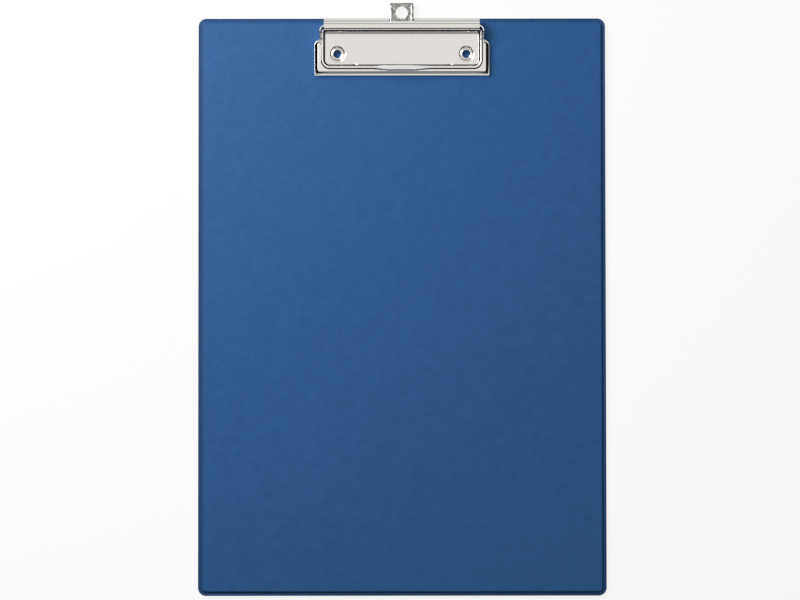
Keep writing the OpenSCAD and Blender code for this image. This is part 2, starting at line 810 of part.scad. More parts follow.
// The pull-out hanging eye, with a rail along each side and a lip at its end.
module hanger() {
    bend = hanger_bend_r - hanger_t / 2;
    wings = hanger_w + 2 * wing_w;
    rail_l = hanger_end - hanger_bend_r - hanger_tail;
    color(nickel) difference() {
        union() {
            intersection() {
                translate([0, hanger_tail, hanger_top - hanger_t / 2]) rotate([90, 0, 90])
                    linear_extrude(wings, center = true) bent_sheet(hanger_t, [
                        [rail_l, 0],
                        [bend, -90],
                        [hanger_lip - hanger_bend_r, 0]
                    ]);
                linear_extrude(hanger_top + lap) hanger_plan();
            }
            for (x = [-1, 1])
                translate([x * (hanger_w - rail_w) / 2, hanger_tail + rail_l, hanger_top])
                    rotate([90, 0, 0]) linear_extrude(rail_l) intersection() {
                        translate([0, rail_h - rail_r]) circle(rail_r);
                        translate([-rail_w / 2, -hanger_t / 2]) square([rail_w, hanger_t]);
                    }
        }
        translate([0, eye_y, 0]) cylinder(d = eye_d, h = hanger_top + rail_h);
    }
}

echo(hinge_mm = [hinge_y, hinge_z], eye_y_mm = eye_y, hanger_travel_mm = hanger_travel);

core_board();
front_foil();
back_foil();
base_plate();
left_rivet();
right_rivet();
jaw();
left_spring();
right_spring();
hanger();
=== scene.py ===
"""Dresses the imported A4 clipboard: a foil-covered board, a nickel-plated clip and a hanging eye.

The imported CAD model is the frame. Every length that is written in millimetres here is the real
one, and meshes are made in metres in the frame's own axes: +Z out of the board's front, +Y towards
the clip, with the origin in the middle of the board's back.
"""

import logging
import math
from dataclasses import dataclass
from enum import Enum

import bmesh
import bpy
from mathutils import Matrix, Vector

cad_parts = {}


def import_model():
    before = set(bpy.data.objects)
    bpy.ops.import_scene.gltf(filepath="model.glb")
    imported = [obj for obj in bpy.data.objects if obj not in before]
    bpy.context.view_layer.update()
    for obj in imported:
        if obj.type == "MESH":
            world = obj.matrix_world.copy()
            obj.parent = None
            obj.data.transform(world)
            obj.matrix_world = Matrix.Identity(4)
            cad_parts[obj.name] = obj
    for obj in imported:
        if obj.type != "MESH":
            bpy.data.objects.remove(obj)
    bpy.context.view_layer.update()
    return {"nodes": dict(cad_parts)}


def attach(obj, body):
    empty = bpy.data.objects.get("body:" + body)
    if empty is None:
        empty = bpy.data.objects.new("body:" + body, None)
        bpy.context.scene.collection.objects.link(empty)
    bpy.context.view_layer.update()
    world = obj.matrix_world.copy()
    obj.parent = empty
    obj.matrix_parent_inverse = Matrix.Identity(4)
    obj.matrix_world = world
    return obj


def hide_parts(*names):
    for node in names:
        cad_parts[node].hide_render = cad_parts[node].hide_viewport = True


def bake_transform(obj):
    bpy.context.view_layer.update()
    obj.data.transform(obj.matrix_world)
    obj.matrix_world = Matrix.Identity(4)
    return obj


LOG = logging.getLogger("clipboard")
MM = 0.001
# The share of the straight between two bends of a sheet that the bends may take
BEND_SHARE = 0.98
# The smallest inside radius of a bent sheet, and how far its cut edge bulges, as a share
LEAST_RADIUS = 0.12
EDGE_BULGE = 0.35


class Body(Enum):
    """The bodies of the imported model."""

    BOARD = "board"
    JAW = "jaw"
    HANGER = "hanger"


class Side(Enum):
    """The two ends of the clip, with the sign of their X."""

    LEFT = -1
    RIGHT = 1


def linear(hex_colour: str) -> tuple[float, float, float, float]:
    """Turns an sRGB hex colour into linear RGBA.

    Args:
        hex_colour: The colour as "#rrggbb".

    Returns:
        The linear red, green, blue and an alpha of one.
    """
    parts = [int(hex_colour[i : i + 2], 16) / 255 for i in (1, 3, 5)]
    rgb = [c / 12.92 if c <= 0.04045 else ((c + 0.055) / 1.055) ** 2.4 for c in parts]
    return (rgb[0], rgb[1], rgb[2], 1.0)


def add_node(
    tree: bpy.types.NodeTree, kind: str, inputs: dict | None = None, **settings: object
) -> bpy.types.Node:
    """Adds one node with its settings, values and links.

    Args:
        tree: The node tree that gets the node.
        kind: Blender's name of the node's type.
        inputs: What goes into each socket, by name or number: a value, or a socket to link.
        **settings: Properties of the node itself.

    Returns:
        The new node.
    """
    node = tree.nodes.new(kind)
    for name, value in settings.items():
        setattr(node, name, value)
    for socket, value in (inputs or {}).items():
        if isinstance(value, bpy.types.NodeSocket):
            tree.links.new(value, node.inputs[socket])
        else:
            node.inputs[socket].default_value = value
    return node


def per_metre(size_mm: float) -> float:
    """Gives a texture's scale for a feature of that size in millimetres."""
    return 1 / (size_mm * MM)


def new_material(name: str) -> tuple[bpy.types.Material, bpy.types.NodeTree]:
    """Makes an empty node material.

    Args:
        name: What the real material is and how it was made.

    Returns:
        The material and its node tree.
    """
    material = bpy.data.materials.new(name)
    material.use_nodes = True
    material.node_tree.nodes.clear()
    return material, material.node_tree


def close_surface(
    material: bpy.types.Material, shader: bpy.types.NodeSocket
) -> bpy.types.Material:
    """Joins a shader to the material's output and returns the material."""
    add_node(material.node_tree, "ShaderNodeOutputMaterial", {"Surface": shader})
    return material


@dataclass(frozen=True)
class PvcFoil:
    """Soft PVC foil, calendered with a fine leather grain and welded round the board."""

    name: str = "pvc_foil_embossed"
    shade: str = "#295b92"
    deep_shade: str = "#26568c"
    roughness: float = 0.5
    ior: float = 1.53
    specular: float = 0.2
    grain_mm: float = 1.6
    grain_depth_mm: float = 0.11
    cloud_mm: float = 5.0
    cloud_depth_mm: float = 0.16
    cloud_range: tuple[float, float] = (0.3, 0.7)
    half_size_mm: tuple[float, float] = (114.0, 161.5)
    rim_reach_mm: float = 4.0
    # Distance from the edge in millimetres, and the grey of the painted shade there
    painted_rim_greys: tuple[tuple[float, float], ...] = (
        (0.0, 0.3),
        (0.5, 0.42),
        (0.9, 0.8),
        (1.3, 0.66),
        (2.1, 0.6),
        (2.9, 0.9),
        (3.6, 1.0),
    )

    def painted_rim_shade(
        self, tree: bpy.types.NodeTree, place: bpy.types.NodeSocket
    ) -> bpy.types.NodeSocket:
        """Paints shade on the foil by its distance from the board's edge.

        The light and shade of the weld's rounded edge and its groove are painted into the colour:
        darkest on the cut, lighter just inside, and deeper again in a band further in.

        Args:
            tree: The node tree to work in.
            place: The position on the foil.

        Returns:
            The grey of the painted shade, to multiply the foil's colour by.
        """
        reach = self.rim_reach_mm
        inner = tuple((half - reach) * MM for half in self.half_size_mm)
        folded = add_node(tree, "ShaderNodeVectorMath", {0: place}, operation="ABSOLUTE")
        # A metre is taken off the height, which leaves only the distances in plan
        sides = {0: folded.outputs[0], 1: (*inner, 1.0)}
        past = add_node(tree, "ShaderNodeVectorMath", sides, operation="SUBTRACT")
        floor = {0: past.outputs[0], 1: (0, 0, 0)}
        kept = add_node(tree, "ShaderNodeVectorMath", floor, operation="MAXIMUM")
        out = add_node(tree, "ShaderNodeVectorMath", {0: kept.outputs[0]}, operation="LENGTH")
        limits = {"Value": out.outputs["Value"], "From Min": reach * MM, "From Max": 0.0}
        share = add_node(tree, "ShaderNodeMapRange", limits)
        ramp = add_node(tree, "ShaderNodeValToRGB", {"Fac": share.outputs["Result"]})
        elements = ramp.color_ramp.elements
        while len(elements) < len(self.painted_rim_greys):
            elements.new(0.5)
        for element, (distance, grey) in zip(elements, self.painted_rim_greys):
            element.position = distance / reach
            element.color = (grey, grey, grey, 1)
        return ramp.outputs["Color"]

    def build(self) -> bpy.types.Material:
        """Makes the foil's material.

        The grain breaks the gloss into a fine mottle. The greyboard telegraphs through as slow,
        shallow clouds, which the eye sees as patches a little lighter or deeper.

        Returns:
            The material.
        """
        material, tree = new_material(self.name)
        place = add_node(tree, "ShaderNodeTexCoord").outputs["Object"]
        # Real grain is about 0.3 mm: it is drawn about five times as coarse, so that it shows
        grain, clouds = (
            add_node(
                tree,
                "ShaderNodeTexNoise",
                {"Vector": place, "Scale": per_metre(size), "Detail": detail, "Roughness": rough},
            ).outputs["Fac"]
            for size, detail, rough in ((self.grain_mm, 3.0, 0.6), (self.cloud_mm, 2.0, 0.5))
        )
        low, high = self.cloud_range
        limits = {"Value": clouds, "From Min": low, "From Max": high}
        tint = add_node(tree, "ShaderNodeMapRange", limits).outputs["Result"]
        shades = {0: tint, 6: linear(self.deep_shade), 7: linear(self.shade)}
        colour = add_node(tree, "ShaderNodeMix", shades, data_type="RGBA")
        # Painted shade darkens the foil's colour towards the board's edge
        rim = {0: 1.0, 6: colour.outputs[2], 7: self.painted_rim_shade(tree, place)}
        colour = add_node(tree, "ShaderNodeMix", rim, data_type="RGBA", blend_type="MULTIPLY")
        fine = add_node(
            tree,
            "ShaderNodeBump",
            {"Height": grain, "Strength": 1.0, "Distance": self.grain_depth_mm * MM},
        ).outputs["Normal"]
        both = add_node(
            tree,
            "ShaderNodeBump",
            {"Height": clouds, "Normal": fine, "Distance": self.cloud_depth_mm * MM},
        ).outputs["Normal"]
        shader = add_node(
            tree,
            "ShaderNodeBsdfPrincipled",
            {
                "Base Color": colour.outputs[2],
                "Roughness": self.roughness,
                "IOR": self.ior,
                "Specular IOR Level": self.specular,
                "Normal": both,
            },
        )
        return close_surface(material, shader.outputs[0])


@dataclass(frozen=True)
class Greyboard:
    """Grey board, pressed from waste paper: matt, with a fleck of darker and lighter fibres."""

    name: str = "greyboard_pressed"
    shade: str = "#9a958c"
    fleck: str = "#7f7a72"
    roughness: float = 0.9
    fibre_mm: float = 0.8
    fibre_depth_mm: float = 0.05

    def build(self) -> bpy.types.Material:
        """Makes the greyboard's material, whose flecks are tufts of fibre and not single ones.

        Returns:
            The material.
        """
        material, tree = new_material(self.name)
        place = add_node(tree, "ShaderNodeTexCoord").outputs["Object"]
        fibres = add_node(
            tree,
            "ShaderNodeTexNoise",
            {"Vector": place, "Scale": per_metre(self.fibre_mm), "Detail": 4.0},
        ).outputs["Fac"]
        shades = {0: fibres, 6: linear(self.fleck), 7: linear(self.shade)}
        colour = add_node(tree, "ShaderNodeMix", shades, data_type="RGBA")
        bump = add_node(
            tree, "ShaderNodeBump", {"Height": fibres, "Distance": self.fibre_depth_mm * MM}
        ).outputs["Normal"]
        shader = add_node(
            tree,
            "ShaderNodeBsdfPrincipled",
            {"Base Color": colour.outputs[2], "Roughness": self.roughness, "Normal": bump},
        )
        return close_surface(material, shader.outputs[0])


@dataclass(frozen=True)
class NickelPlate:
    """Bright nickel plated on pressed sheet steel: a warm mirror with a faint waviness."""

    name: str = "nickel_plated_steel"
    shade: str = "#dfdcd8"
    roughness: float = 0.07
    haze: float = 0.03
    wave_mm: float = 6.0
    wave_depth_mm: float = 0.004
    smudge_mm: float = 2.5

    def build(self) -> bpy.types.Material:
        """Makes the nickel's material.

        The sheet's slow waves bend the reflections a little, and the haze, which varies over a few
        millimetres, softens them unevenly as handling does.

        Returns:
            The material.
        """
        material, tree = new_material(self.name)
        place = add_node(tree, "ShaderNodeTexCoord").outputs["Object"]
        smudge = add_node(
            tree,
            "ShaderNodeTexNoise",
            {"Vector": place, "Scale": per_metre(self.smudge_mm), "Detail": 3.0},
        ).outputs["Fac"]
        rough = add_node(
            tree,
            "ShaderNodeMapRange",
            {
                "Value": smudge,
                "To Min": self.roughness - self.haze,
                "To Max": self.roughness + self.haze,
            },
        ).outputs["Result"]
        waves = add_node(
            tree,
            "ShaderNodeTexNoise",
            {"Vector": place, "Scale": per_metre(self.wave_mm), "Detail": 1.0},
        ).outputs["Fac"]
        bump = add_node(
            tree, "ShaderNodeBump", {"Height": waves, "Distance": self.wave_depth_mm * MM}
        ).outputs["Normal"]
        shader = add_node(
            tree,
            "ShaderNodeBsdfPrincipled",
            {
                "Base Color": linear(self.shade),
                "Metallic": 1.0,
                "Roughness": rough,
                "Normal": bump,
            },
        )
        return close_surface(material, shader.outputs[0])


@dataclass(frozen=True)
class DrawnWire:
    """Hard-drawn spring steel wire: darker than the plating, with a satin from the die."""

    name: str = "spring_steel_drawn"
    shade: str = "#a7a6a6"
    roughness: float = 0.28
    mark_mm: float = 0.15
    mark_depth_mm: float = 0.004

    def build(self) -> bpy.types.Material:
        """Makes the wire's material.

        The die's marks blur the reflections and don't show one by one.

        Returns:
            The material.
        """
        material, tree = new_material(self.name)
        place = add_node(tree, "ShaderNodeTexCoord").outputs["Object"]
        # Real marks are about 0.02 mm wide: they are drawn several times as coarse, as a grain
        marks = add_node(
            tree,
            "ShaderNodeTexNoise",
            {"Vector": place, "Scale": per_metre(self.mark_mm), "Detail": 2.0},
        ).outputs["Fac"]
        bump = add_node(
            tree, "ShaderNodeBump", {"Height": marks, "Distance": self.mark_depth_mm * MM}
        ).outputs["Normal"]
        shader = add_node(
            tree,
            "ShaderNodeBsdfPrincipled",
            {
                "Base Color": linear(self.shade),
                "Metallic": 1.0,
                "Roughness": self.roughness,
                "Normal": bump,
            },
        )
        return close_surface(material, shader.outputs[0])


class Shell:
    """Gathers points and faces in millimetres, joining points that are under STEP apart."""

    STEP = 1e-4

    def __init__(self) -> None:
        """Starts an empty shell."""
        self.points: list[Vector] = []
        self.faces: list[tuple[int, ...]] = []
        self.known: dict[tuple[int, int, int], int] = {}

    def point(self, p: Vector) -> int:
        """Adds a point, or finds the one that is there.

        Args:
            p: The point, in millimetres.

        Returns:
            Its number.
        """
        key = (round(p[0] / self.STEP), round(p[1] / self.STEP), round(p[2] / self.STEP))
        if key not in self.known:
            self.known[key] = len(self.points)
            self.points.append(Vector(p))
        return self.known[key]

    def face(self, corners: list[Vector]) -> None:
        """Adds a face and leaves out corners that coincide.

        Args:
            corners: Its corners in order, in millimetres.
        """
        numbers = [self.point(p) for p in corners]
        ring = [n for i, n in enumerate(numbers) if n != numbers[i - 1]]
        if len(set(ring)) > 2:
            self.faces.append(tuple(ring))

    def bridge(self, rings: list[list[Vector]], closed: bool = True) -> None:
        """Joins each ring to the next.

        Args:
            rings: Rings of as many points each.
            closed: Whether each ring's last point joins its first.
        """
        count = len(rings[0])
        for near, far in zip(rings, rings[1:]):
            for i in range(count if closed else count - 1):
                j = (i + 1) % count
                self.face([near[i], near[j], far[j], far[i]])

    def loft(self, rings: list[list[Vector]]) -> None:
        """Joins the rings and closes both ends.

        Args:
            rings: Rings of as many points each.
        """
        self.bridge(rings)
        self.face(rings[0])
        self.face(rings[-1])

    def work_mesh(self) -> tuple[bmesh.types.BMesh, list[bmesh.types.BMVert]]:
        """Makes a mesh in metres, to be worked on.

        Returns:
            The mesh, and its corners in the order of the points.
        """
        work = bmesh.new()
        corners = [work.verts.new(p * MM) for p in self.points]
        for face in self.faces:
            work.faces.new([corners[n] for n in face])
        return work, corners

    def piece(self, name: str, sharp: float) -> bpy.types.Object:
        """Makes the object, with its faces turned outwards and smooth up to an angle.

        Args:
            name: The piece's name.
            sharp: Angle between faces, in degrees, from which an edge shows.

        Returns:
            The object, linked into the scene.
        """
        work, _ = self.work_mesh()
        bmesh.ops.recalc_face_normals(work, faces=work.faces)
        made = new_piece(name, work)
        shade_soft(made.data, sharp)
        return made


def new_piece(name: str, work: bmesh.types.BMesh) -> bpy.types.Object:
    """Makes an object of a mesh that has been worked on.

    Args:
        name: The piece's name.
        work: The mesh, which is freed.

    Returns:
        The object, linked into the scene.
    """
    mesh = bpy.data.meshes.new(name)
    work.to_mesh(mesh)
    work.free()
    made = bpy.data.objects.new(name, mesh)
    bpy.context.scene.collection.objects.link(made)
    return made


def shade_soft(mesh: bpy.types.Mesh, sharp: float) -> None:
    """Shades a mesh smooth, but for edges from an angle in degrees."""
    mesh.shade_smooth()
    mesh.set_sharp_from_angle(angle=math.radians(sharp))


def rounded_line(
    corners: list[tuple[float, float, float]], steps: int
) -> list[tuple[Vector, Vector]]:
    """Rounds the corners of a line in a plane.

    Args:
        corners: Each corner's two coordinates and its radius. The ends' radii aren't used.
        steps: Parts that each rounded corner is drawn in. A corner without radius is one point.

    Returns:
        Points along the line, each with the direction to the line's left.
    """

    def left(way: Vector) -> Vector:
        """Gives the direction to the left of another."""
        return Vector((-way.y, way.x)).normalized()

    places = [Vector(c[:2]) for c in corners]
    line = [(places[0], left(places[1] - places[0]))]
    for i in range(1, len(places) - 1):
        before, here, after = places[i - 1 : i + 2]
        last, radius, following = (c[2] for c in corners[i - 1 : i + 2])
        way_in, way_out = (here - before).normalized(), (after - here).normalized()
        turn = way_in.angle_signed(way_out, 0.0)
        if not radius:
            line.append((here, left(way_in + way_out)))
            continue
        reach = radius * math.tan(abs(turn) / 2)
        # Two neighbouring bends share the straight part between them by their radii
        share_in = (here - before).length / (radius + last)
        share_out = (after - here).length / (radius + following)
        limit = BEND_SHARE * radius * min(share_in, share_out)
        radius, reach = radius * min(1, limit / max(reach, 1e-9)), min(reach, limit)
        side = -1 if turn > 0 else 1
        centre = here - way_in * reach + side * left(way_in) * radius
        for step in range(steps + 1):
            normal = left(way_in).copy()
            normal.rotate(Matrix.Rotation(-turn * step / steps, 2))
            line.append((centre - side * normal * radius, normal))
    line.append((places[-1], left(places[-1] - places[-2])))
    return line


def sheet_ring(
    corners: list[tuple[float, float, float]], thick: float, steps: int
) -> list[Vector]:
    """Draws the outline of a bent sheet.

    Args:
        corners: The corners of its upper side, as rounded_line takes them.
        thick: The sheet's thickness.
        steps: Parts that each rounded corner is drawn in.

    Returns:
        The closed outline: the upper side, a rounded cut edge, the under side and the other edge.
    """
    places = [Vector(c[:2]) for c in corners]
    ways = [(b - a).normalized() for a, b in zip(places, places[1:])]
    under = []
    for i, (place, corner) in enumerate(zip(places, corners)):
        way_in, way_out = ways[max(i - 1, 0)], ways[min(i, len(ways) - 1)]
        turn = way_in.angle_signed(way_out, 0.0)
        left = Vector((-(way_in + way_out).y, (way_in + way_out).x)).normalized()
        spot = place - left * thick / math.cos(turn / 2)
        # On the inside of a bend the radius is smaller by the sheet's thickness
        radius = corner[2] - math.copysign(thick, turn) if corner[2] else 0.0
        under.append((spot.x, spot.y, max(radius, LEAST_RADIUS) if corner[2] else 0.0))
    top, low = rounded_line(corners, steps), rounded_line(under, steps)

    def edge(start: Vector, end: Vector, way: Vector) -> list[Vector]:
        """Rounds a cut edge.

        Args:
            start: Its first corner.
            end: Its other corner.
            way: The way that it faces.

        Returns:
            The points between the corners, which bulge that way.
        """
        middle, half = (start + end) / 2, (start - end) / 2
        return [
            middle + half * math.cos(a) + way * EDGE_BULGE * half.length * math.sin(a)
            for a in (math.pi / 4, math.pi / 2, 3 * math.pi / 4)
        ]

    outer = edge(top[-1][0], low[-1][0], ways[-1])
    inner = edge(low[0][0], top[0][0], -ways[0])
    return [p for p, _ in top] + outer + [p for p, _ in reversed(low)] + inner


def spread(low: float, high: float, count: int) -> list[float]:
    """Gives count + 1 numbers from low to high."""
    return [low + (high - low) * i / count for i in range(count + 1)]


def ease(t: float) -> float:
    """Goes smoothly from 0 at 0 to 1 at 1."""
    t = min(max(t, 0.0), 1.0)
    return t * t * (3 - 2 * t)


def bell(t: float) -> float:
    """Falls smoothly from 1 at 0 to 0 at 1 and -1."""
    return (1 - t * t) ** 2 if abs(t) < 1 else 0.0


@dataclass(frozen=True)
class Hinge:
    """The jaw's axis and the barrel round it, in millimetres."""

    y: float = 156.6
    z: float = 6.8
    barrel_r: float = 4.0
    bore_r: float = 3.3
    length: float = 87.0


@dataclass
class Springs:
    """The two torsion springs, whose coils lie in the barrel and whose legs press on the jaw."""

    material: bpy.types.Material
    hinge: Hinge = Hinge()
    wire_r: float = 0.55
    coil_r: float = 2.6
    pitch: float = 1.65
    turns: int = 8
    turn_r: float = 1.4
    bend_r: float = 1.2
    inner_leg: float = 3.5
    outer_run: float = 4.3
    leg_x: float = 44.35
    leg_z: float = 7.9
    leg_reach: float = 7.7
    cut_share: float = 0.85
    rings_per_turn: int = 24
    turn_steps: int = 6
    bend_steps: int = 8
    sides: int = 14

    def on_coil(self, x: float, angle: float) -> Vector:
        """Gives a point on the coil's cylinder, at an angle from the bottom towards the front."""
        y = self.hinge.y - self.coil_r * math.sin(angle)
        return Vector((x, y, self.hinge.z - self.coil_r * math.cos(angle)))

    def path(self) -> tuple[list[Vector], float, float]:
        """Draws the wire's middle line on the right side.

        Returns:
            The points, and X where the coil starts and ends.
        """
        last = math.tau * self.turns + math.acos((self.hinge.z - self.leg_z) / self.coil_r)
        slope = math.atan(math.tau * self.coil_r / self.pitch)
        first = self.turn_r * (1 - math.cos(slope)) / self.coil_r
        rise = self.turn_r * math.sin(slope)
        sweep = last - 2 * first
        end = self.leg_x - self.bend_r - self.outer_run - rise
        start = end - sweep / math.tau * self.pitch
        leg = start - rise - self.inner_leg
        points = [self.on_coil(x, 0) for x in spread(leg, leg + self.inner_leg, 4)]
        for a in spread(0, slope, self.turn_steps)[1:]:
            turned = self.turn_r * (1 - math.cos(a)) / self.coil_r
            points.append(self.on_coil(start - rise + self.turn_r * math.sin(a), turned))
        steps = round(sweep / math.tau * self.rings_per_turn)
        points += [
            self.on_coil(x, a)
            for x, a in zip(spread(start, end, steps), spread(first, first + sweep, steps))
        ][1:]
        for a in spread(slope, 0, self.turn_steps)[1:]:
            turned = last - self.turn_r * (1 - math.cos(a)) / self.coil_r
            points.append(self.on_coil(end + rise - self.turn_r * math.sin(a), turned))
        top_y = self.on_coil(0, last).y - self.bend_r
        for a in spread(0, math.pi / 2, self.bend_steps):
            x = self.leg_x - self.bend_r + self.bend_r * math.sin(a)
            points.append(Vector((x, top_y + self.bend_r * math.cos(a), self.leg_z)))
        tip = self.hinge.y - self.leg_reach
        points += [Vector((self.leg_x, y, self.leg_z)) for y in spread(points[-1].y, tip, 3)[1:]]
        return points, start, end

    def tube(self, shell: Shell, points: list[Vector]) -> None:
        """Draws the round wire, with eased cut ends.

        Args:
            shell: What the wire is added to.
            points: Its middle line.
        """
        ways = [
            (points[min(i + 1, len(points) - 1)] - points[max(i - 1, 0)]).normalized()
            for i in range(len(points))
        ]
        side = Vector((0, 0, 1))
        angles = [math.tau * k / self.sides for k in range(self.sides)]
        rings = []
        for i, (p, way) in enumerate(zip(points, ways)):
            side = (side - side.dot(way) * way).normalized()
            other = way.cross(side)
            r = self.wire_r * (self.cut_share if i in (0, len(points) - 1) else 1.0)
            rings.append([p + r * (math.cos(a) * side + math.sin(a) * other) for a in angles])
        shell.loft(rings)

    def build(self, side: Side) -> bpy.types.Object:
        """Builds one spring, which twists between the board and the jaw.

        Args:
            side: The end of the clip that it is at.

        Returns:
            The spring.
        """
        points, start, end = self.path()
        flip = side.value
        shell = Shell()
        self.tube(shell, [Vector((flip * p.x, p.y, p.z)) for p in points])
        name = f"{side.name.lower()}_spring"
        made = shell.piece(f"{name}_wire", sharp=60)
        made.data.materials.append(self.material)
        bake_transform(made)
        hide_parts(name)
        return made


@dataclass
class Jaw:
    """The pressed sheet-steel frame that turns on the barrel, with its bar, arms and straps."""

    material: bpy.types.Material
    hinge: Hinge = Hinge()
    thick: float = 0.8
    half_x: float = 43.8
    front: float = 134.4
    corner_r: float = 3.4
    board_z: float = 2.8
    crest_z: float = 7.3
    shoulder_z: float = 6.65
    hem_h: float = 1.8
    ridge_w: float = 2.2
    # The section's bends, outwards from its inner edge, at the bar and at an arm
    step_start: tuple[float, float] = (1.2, 0.95)
    step_end: tuple[float, float] = (1.95, 1.6)
    bevel_start: tuple[float, float] = (3.1, 3.15)
    bevel_end: tuple[float, float] = (3.75, 4.9)
    skirt_foot: tuple[float, float] = (3.95, 4.98)
    lip_end: tuple[float, float] = (5.0, 5.2)
    # How far the bevel falls, and the radii of its end and the skirt's foot, at both again
    bevel_drop: tuple[float, float] = (0.6, 1.55)
    bevel_r: tuple[float, float] = (0.45, 0.35)
    foot_r: tuple[float, float] = (0.35, 0.15)
    # The radii of the crest, the step's start and its end
    fold_r: tuple[float, float, float] = (0.45, 0.3, 0.2)
    skirt_back: float = 146.2
    crest_back: float = 151.9
    lift_half: float = 16.5
    lift_h: float = 1.5
    lift_brow: float = 2.3
    lift_foot: float = 2.7
    lift_back: float = 0.4
    lift_front_share: float = 1.6
    lift_shoulder: float = 0.3
    end_turn: float = 84.0
    strap_low: float = 3.2
    strap_run: float = 3.1
    strap_lap: float = 0.02
    strap_half_h: float = 3.0
    strap_bend: float = 2.8
    turn_y: float = 153.8
    tongue_x: float = 39.5
    bar_steps: int = 80
    corner_steps: int = 28
    turn_steps: int = 10
    fold_steps: int = 6

    def section(self, arm: float, lift: float) -> list[Vector]:
        """Draws the frame's section, outwards from its inner edge.

        Args:
            arm: 0 for the bar's section and 1 for an arm's, which has a wider shoulder.
            lift: 0 away from the thumb lift and 1 in its middle.

        Returns:
            The closed outline as (distance outwards, height).
        """

        def at(pair: tuple[float, float]) -> float:
            """Mixes the bar's value and the arm's."""
            return pair[0] + (pair[1] - pair[0]) * arm

        crest, shoulder = self.crest_z + self.lift_h * lift, self.shoulder_z
        foot = self.board_z + self.thick
        front = min(1.0, self.lift_front_share * lift)
        brow = at(self.step_start) + (self.lift_brow - self.step_start[0]) * front
        step = at(self.step_end) + (self.lift_foot - self.step_end[0]) * front
        back = -self.lift_back * lift
        crest_r, start_r, end_r = self.fold_r
        corners = [
            (back, crest - self.hem_h, 0),
            (back, crest, crest_r),
            (brow, crest, start_r),
            (step, shoulder, end_r),
            (max(self.ridge_w, step + self.lift_shoulder * front), shoulder, 0),
            (at(self.bevel_start), shoulder, crest_r),
            (at(self.bevel_end), shoulder - at(self.bevel_drop), at(self.bevel_r)),
            (at(self.skirt_foot), foot, at(self.foot_r)),
            (at(self.lip_end), foot, 0),
        ]
        return sheet_ring(corners, self.thick, self.fold_steps)

    def pivot_points(self) -> list[int]:
        """Finds the outline's points above and below the line that the skirt's end turns on."""
        ring = self.section(1.0, 0.0)
        return [i for i, p in enumerate(ring) if abs(p[0] - self.ridge_w) < 1e-6]

    def corner_reach(self, out: float, angle: float) -> float:
        """Gives the distance from the corner's centre to a point of the section.

        The ridge goes round the corner in an arc. The skirt, further out, meets in a mitre. Both
        are a rounded square, whose power is 2 for the arc and grows with the distance.

        Args:
            out: The point's distance outwards from the section's inner edge.
            angle: The direction round the corner, in radians from the front.

        Returns:
            The distance from the centre.
        """
        shoulder = ease((out - self.ridge_w) / (self.bevel_start[0] - self.ridge_w))
        skirt = ease((out - self.bevel_start[0]) / 2)
        power = 2 + 12 * shoulder + 46 * skirt
        sine, cosine = abs(math.sin(angle)), abs(math.cos(angle))
        return (self.corner_r + out) / (sine**power + cosine**power) ** (1 / power)

    def rise(self, x: float) -> float:
        """Gives the thumb lift's share of its full height at a distance from its middle."""
        return math.cos(math.pi / 2 * min(1.0, abs(x) / self.lift_half)) ** 1.5

    def rings(self) -> list[list[Vector]]:
        """Draws the section round the frame.

        Returns:
            Its rings, from the left arm's rear round the front to the right arm's rear.
        """
        r = self.corner_r
        centre_x, centre_y = self.half_x - r, self.front + r
        half_path = []
        for x in spread(0, centre_x, self.bar_steps):
            ring = self.section(0.0, self.rise(x))
            half_path.append([Vector((x, self.front - u, z)) for u, z in ring])
        for t in spread(-1, 1, self.corner_steps)[1:]:
            # The rings are closest in the middle of the corner, at the mitre
            angle = math.pi / 4 * (1 + t * (0.4 + 0.6 * abs(t)))
            ring = self.section(ease((t + 1) / 2), 0.0)
            row = []
            for u, z in ring:
                reach = self.corner_reach(u, angle)
                x = centre_x + reach * math.sin(angle)
                row.append(Vector((x, centre_y - reach * math.cos(angle), z)))
            half_path.append(row)
        ring = self.section(1.0, 0.0)
        for y in spread(centre_y, self.skirt_back, 4)[1:]:
            half_path.append([Vector((self.half_x + u, y, z)) for u, z in ring])
        mirrored = [[Vector((-p.x, p.y, p.z)) for p in row] for row in reversed(half_path)]
        return mirrored[:-1] + half_path

    def add_arm_ends(self, shell: Shell, flip: int) -> None:
        """Adds the end of one arm: its skirt turns inwards, and its ridge runs on.

        Args:
            shell: What the end is added to.
            flip: The sign of its X.
        """
        ring = self.section(1.0, 0.0)
        top, under = self.pivot_points()
        inner = ring[: top + 1] + ring[under:]
        outer = ring[top : under + 1]
        pivot_x = self.half_x + self.ridge_w
        turned = []
        for angle in spread(0, math.radians(self.end_turn), self.turn_steps):
            row = []
            for u, z in outer:
                out = max(u - self.ridge_w, 0.0)
                x = pivot_x + out * math.cos(angle)
                row.append(Vector((flip * x, self.skirt_back + out * math.sin(angle), z)))
            turned.append(row)
        shell.bridge(turned)
        shell.face(turned[-1])
        straight = [
            [Vector((flip * (self.half_x + u), y, z)) for u, z in inner]
            for y in (self.skirt_back, self.crest_back)
        ]
        shell.bridge(straight)
        shell.face(straight[-1])

